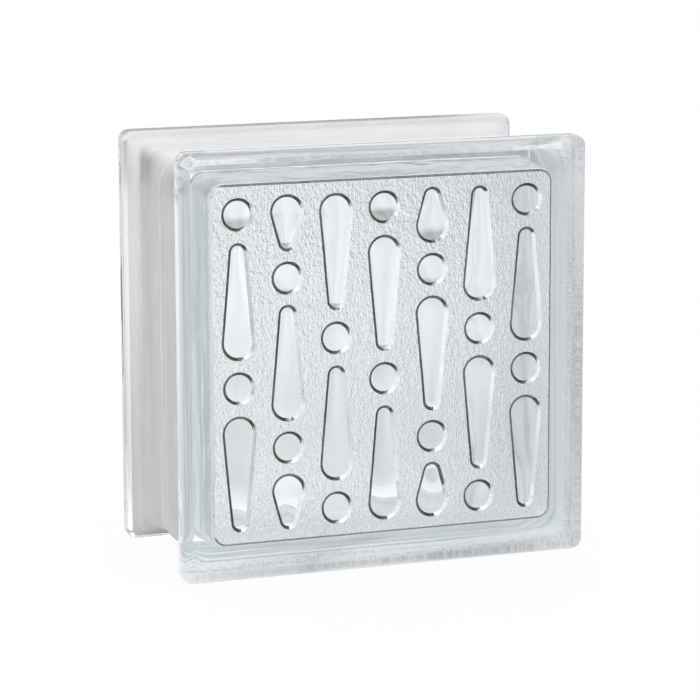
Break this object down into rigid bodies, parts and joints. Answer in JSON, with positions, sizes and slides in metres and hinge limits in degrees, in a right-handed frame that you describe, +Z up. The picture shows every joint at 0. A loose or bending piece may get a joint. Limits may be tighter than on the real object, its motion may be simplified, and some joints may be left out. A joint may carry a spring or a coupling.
{
  "type": "glass block",
  "caption": "Square hollow glass building block with rounded lips, a waisted mortar channel round its sides and raised figures pressed into the inside of its front pane.",
  "frame": {"origin": "middle of the footprint, on the surface that the block stands on", "axes": "+Z up, +Y from the patterned front face to the rear face, +X to the right seen from the front"},
  "size_m": [0.19, 0.1, 0.19],
  "materials": {
    "glass": "clear pressed glass, matte pale coating in the channel"
  },
  "bodies": {
    "root": {"glass_block": "glass"}
  },
  "joints": []
}
